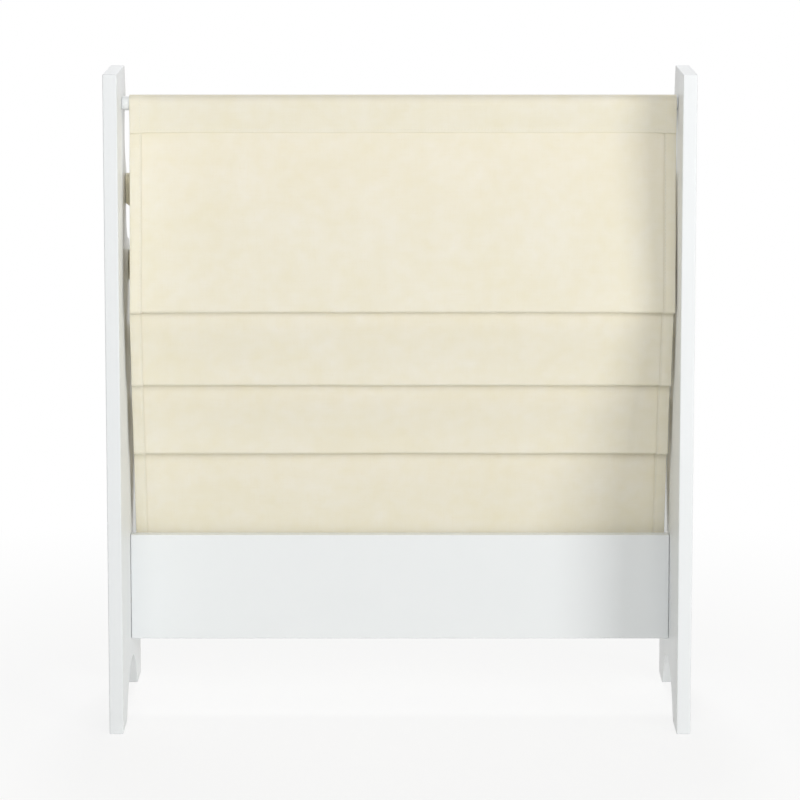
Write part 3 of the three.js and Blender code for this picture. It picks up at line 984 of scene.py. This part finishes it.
# How far a slack wall stands off its plain path, towards the books
def standOff(length, across):
    total, toSeam = 0, np.abs(seamLengths - length).min()
    if insideSleeve(length) <= 0 and seamLengths[0] < length < seamLengths[-1]:
        for turn, (height, size) in enumerate(slack["swells"]):
            spot = Vector((across / size, length / size, (turn + 1) * slack["seed"]))
            total += smoothShare(toSeam / slack["easeIn"]) * height * noise.noise(spot)
    return total


# Across the canvas: it sits a little askew, and each lower sleeve reaches nearly to the panels
def placeAcross(length, across):
    aside = np.interp(length, sleeveMiddles, sling["sideSets"])
    side = math.copysign(1, across)
    spot = Vector((0, length / slack["edgeSize"], slack["edgeSeed"] * side))
    wander = slack["edgeWander"] * noise.noise(spot)
    reach = 0
    if length > seamLengths[1]:
        share = smoothShare(insideSleeve(length) / sling["sleeveRun"])
        reach = share * side * (sling["sleeveEnd"] - halfWidth - side * aside)
        wander *= 1 - share
    return across + aside + (wander + reach) * (abs(across) / halfWidth) ** slack["edgePower"]


# How far a layer of the canvas lies from its path towards the books: 0 is the main one, 1 the hem.
# The walls that face a turned flap make room for its trimmed hem as well.
def layerLift(length, across, layer):
    toSeams = np.abs(seamLengths - length)
    raised = 1 - smoothShare(toSeams.min() / hem["raiseRun"])
    facesFlap = toSeams.argmin() in (1, len(seamLengths) - 2)
    layers = 0
    for width in (hem["width"], hem["trimmedWidth"] * facesFlap):
        if width > 0:
            layers += smoothShare((abs(across) - halfWidth + width + hem["easeRun"]) / hem["easeRun"])
    return hemRise * (raised * layers - layer)


# A point of the canvas, so far off the face of one of its layers
def clothPoint(length, across, layer=0, off=0):
    forward = np.interp(length, pathLengths, pathPoints[:, 0])
    up = np.interp(length, pathLengths, pathPoints[:, 1])
    left = np.array([np.interp(length, pathLengths, pathLefts[:, k]) for k in (0, 1)])
    left /= np.linalg.norm(left)
    lift = layerLift(length, across, layer) + off + standOff(length, across)
    forward += pushForward(length, across, up) + left[0] * lift
    return Vector((placeAcross(length, across), backEdge - forward, up + left[1] * lift))


# Columns across a turned hem, from its raw edge round to the main layer, each as
# (share of the hem's width, set in from the edge, layer)
def hemColumns():
    bend = hemRise / 2
    columns = [(1, 0, 1), (2 / 3, 0, 1), (1 / 3, 0, 1), (0, bend, 1)]
    for degrees in (60, 0, -60):
        turn = math.radians(degrees)
        columns.append((0, bend * (1 - math.cos(turn)), (1 + math.sin(turn)) / 2))
    return columns + [(0, bend, 0), (1 / 3, 0, 0), (2 / 3, 0, 0), (1, 0, 0)]


# The hem is trimmed where the flaps turn under, so that their corners stay thin
def hemWidthAt(length):
    share = smoothShare(min(length - seamLengths[0], seamLengths[-1] - length) / hem["trimRun"])
    return hem["trimmedWidth"] + (hem["width"] - hem["trimmedWidth"]) * share


def clothRow(length):
    width = hemWidthAt(length)
    turned = [(halfWidth - share * width - inset, layer) for share, inset, layer in hemColumns()]
    reach = halfWidth - hem["width"]
    count = round(2 * reach / sling["columnStep"])
    middle = [(across, 0) for across in np.linspace(-reach, reach, count + 1)[1:-1]]
    return [(-across, layer) for across, layer in turned] + middle + turned[::-1]


def makeSling():
    plain = clothRow((seamLengths[1] + seamLengths[2]) / 2)
    gaps = [math.hypot(b[0] - a[0], (b[1] - a[1]) * hemRise) for a, b in zip(plain, plain[1:])]
    steps = np.concatenate([[0], np.cumsum(gaps)])
    vertices, flats, faces = [], [], []
    for length in pathLengths:
        for (across, layer), step in zip(clothRow(length), steps):
            vertices.append(clothPoint(length, across, layer))
            flats.append((step, length))
    wide = len(plain)
    for row in range(len(pathLengths) - 1):
        for corner in range(row * wide, row * wide + wide - 1):
            faces.append((corner, corner + 1, corner + wide + 1, corner + wide))
    piece = newPiece("canvasSling", vertices, faces)
    flatMap = piece.data.uv_layers.new(name="clothLength")
    for loop in piece.data.loops:
        flatMap.data[loop.index].uv = flats[loop.vertex_index]
    faceOutwards(piece)
    applyModifier(piece, "SOLIDIFY", thickness=sling["thickness"], offset=0, use_even_offset=True)
    bpy.ops.object.shade_smooth()
    pockets = [f"sling_pocket_{i + 1}" for i in range(rodCount - 1)]
    finishPiece(piece, "canvasSling", canvas, pockets)
    return piece, steps[-1]


canvasSling, clothWidth = makeSling()
print("scene: the canvas sling is made")


# Stitches: one bead of thread, repeated along each seam
stitch = {
    "length": 3.1 * mm,
    "pitch": 3.6 * mm,
    "width": 0.6 * mm,
    "height": 0.2 * mm,
    "hemSet": 10.6 * mm,
    "edgeSet": 1.5 * mm,
    "segments": 6,
    "rings": 4,
}


def beadOfThread():
    deselectAll()
    bpy.ops.mesh.primitive_uv_sphere_add(segments=stitch["segments"], ring_count=stitch["rings"], radius=0.5)
    bead = bpy.context.object
    bead.rotation_euler = (0, math.pi / 2, 0)
    applyPlace(bead)
    bead.scale = (stitch["length"], stitch["width"], stitch["height"])
    applyPlace(bead)
    return bead


# Sets the bead at each (point, direction along the seam, way out of the cloth)
def sewBeads(name, bead, places):
    shape = np.array([vertex.co for vertex in bead.data.vertices])
    polygons = [list(face.vertices) for face in bead.data.polygons]
    vertices, faces = [], []
    for point, along, out in places:
        aside = out.cross(along).normalized()
        start = len(vertices)
        for corner in shape:
            vertices.append(point + along * corner[0] + aside * corner[1] + out * corner[2])
        faces += [[start + index for index in polygon] for polygon in polygons]
    piece = newPiece(name, vertices, faces)
    bpy.ops.object.shade_smooth()
    finishPiece(piece, name, thread, [])
    return piece


# A stitch's middle, the way it runs and the way out, on a layer's face towards the books (1) or
# towards the rods (-1)
def seamPlace(length, across, layer, face, alongCloth):
    off = face * sling["thickness"] / 2
    here = clothPoint(length, across, layer, off)
    reach = stitch["length"] / 2
    onward, aside = (reach, 0) if alongCloth else (0, reach)
    ahead = clothPoint(length + onward, across + aside, layer, off)
    along = (ahead - clothPoint(length - onward, across - aside, layer, off)).normalized()
    out = clothPoint(length, across, layer, off + face * stitch["height"]) - here
    out -= along * out.dot(along)
    return here, along, out.normalized()


def makeStitching():
    bead = beadOfThread()
    seams, sleeves = [], []
    reach = halfWidth - stitch["edgeSet"] - stitch["length"]
    for length in seamLengths:
        for across in np.linspace(-reach, reach, round(2 * reach / stitch["pitch"]) + 1):
            sleeves.append(seamPlace(length, across, 0, 1, False))
    seams.append(sewBeads("sleeveStitching", bead, sleeves))
    start, end = seamLengths[0] + stitch["length"], seamLengths[-1] - stitch["length"]
    for name, side in (("Left", -1), ("Right", 1)):
        places = []
        across = side * (halfWidth - stitch["hemSet"])
        for length in np.linspace(start, end, round((end - start) / stitch["pitch"]) + 1):
            places.append(seamPlace(length, across, 0, 1, True))
            if insideSleeve(length) < 0:
                places.append(seamPlace(length, across, 1, -1, True))
        seams.append(sewBeads(f"hemStitching{name}", bead, places))
    bpy.data.objects.remove(bead)
    return seams


seams = makeStitching()


# Floor and light. The key lamp is behind the shelf at the camera's right, as in the photograph, the
# fill lamp is straight behind it and higher, and a third lights the front for the other views.
studio = {
    "floorSize": 12,
    "floorColour": "#F2F2F0",
    "white": "#FFFFFF",
    "floorGlow": 0.82,
    "fadeStart": 0.45,
    "fadeEnd": 1.1,
    "skyLight": 0.38,
    "aim": Vector((0, 0, 0.36)),
}
lamps = {
    "key": {"azimuth": 214, "elevation": 8, "distance": 4.5, "size": 1.75, "level": 0.33},
    "fill": {"azimuth": 179, "elevation": 26, "distance": 4.5, "size": 2.0, "level": 0.24},
    "front": {"azimuth": 0, "elevation": 45, "distance": 3.0, "size": 0.5, "level": 0.35},
}


# 1 for what the camera sees itself, in a reflection or through a clear thing, and otherwise 0
def seenRays(tree):
    seen = addNode(tree, "LightPath", {}).outputs
    second = {0: seen["Is Glossy Ray"], 1: seen["Is Transmission Ray"]}
    indirect = addNode(tree, "Math", {"operation": "MAXIMUM"} | second)
    return addNode(tree, "Math", {"operation": "MAXIMUM", 0: seen["Is Camera Ray"], 1: indirect})


# A floor that takes the shelf's shadow near it and fades to white further off
def paleFloor(tree):
    place = addNode(tree, "TexCoord", {}).outputs["Object"]
    reach = addNode(tree, "VectorMath", {"operation": "LENGTH", 0: place}).outputs["Value"]
    span = {"From Min": studio["fadeStart"], "From Max": studio["fadeEnd"], "To Min": studio["floorGlow"]}
    fade = addNode(tree, "MapRange", span | {"Value": reach})
    share = addNode(tree, "Math", {"operation": "MULTIPLY", 0: seenRays(tree), 1: fade})
    paint = addNode(tree, "BsdfDiffuse", {"Color": toLinear(studio["floorColour"])})
    glow = addNode(tree, "Emission", {"Color": toLinear(studio["white"])})
    return addNode(tree, "MixShader", {0: share, 1: paint, 2: glow})


def makeFloor():
    deselectAll()
    bpy.ops.mesh.primitive_plane_add(size=studio["floorSize"])
    floor = bpy.context.object
    floor.name = "studioFloor"
    floor.data.materials.append(makeMaterial("paleFloor", paleFloor))


def makeSky():
    world = bpy.data.worlds.new("studioSky")
    bpy.context.scene.world = world
    world.use_nodes = True
    tree = world.node_tree
    tree.nodes.clear()
    strength = addNode(tree, "MapRange", {"Value": seenRays(tree), "To Min": studio["skyLight"]})
    sky = addNode(tree, "Background", {"Color": toLinear(studio["white"]), "Strength": strength})
    addNode(tree, "OutputWorld", {"Surface": sky})


# A square lamp that lights a surface facing it to a share of its written colour
def makeLamp(name, settings):
    azimuth, elevation = math.radians(settings["azimuth"]), math.radians(settings["elevation"])
    away = Vector((
        math.sin(azimuth) * math.cos(elevation),
        -math.cos(azimuth) * math.cos(elevation),
        math.sin(elevation),
    ))
    data = bpy.data.lights.new(name, "AREA")
    data.shape = "SQUARE"
    data.size = settings["size"]
    data.energy = settings["level"] * (math.pi * settings["distance"]) ** 2
    lamp = bpy.data.objects.new(name, data)
    bpy.context.scene.collection.objects.link(lamp)
    lamp.location = studio["aim"] + away * settings["distance"]
    lamp.rotation_euler = away.to_track_quat("Z", "Y").to_euler()


makeFloor()
makeSky()
for name, settings in lamps.items():
    makeLamp(name, settings)

# The camera, placed by fitting the corners of the panels, board and feet in the photograph
camera = {
    "lens": 180.68,
    "sensor": 36,
    "behind": 4.1754,
    "height": 1.0458,
    "pitch": 8.735,
    "shift": -0.05,
}
cameraData = bpy.data.cameras.new("camera")
cameraData.lens = camera["lens"]
cameraData.sensor_width = camera["sensor"]
cameraData.shift_y = camera["shift"]
cameraObject = bpy.data.objects.new("camera", cameraData)
bpy.context.scene.collection.objects.link(cameraObject)
cameraObject.location = (0, backEdge + camera["behind"], camera["height"])
cameraObject.rotation_euler = (math.radians(90 - camera["pitch"]), 0, math.pi)
bpy.context.scene.camera = cameraObject
bpy.context.scene.view_settings.view_transform = "Standard"
print("scene: the light and camera are set")
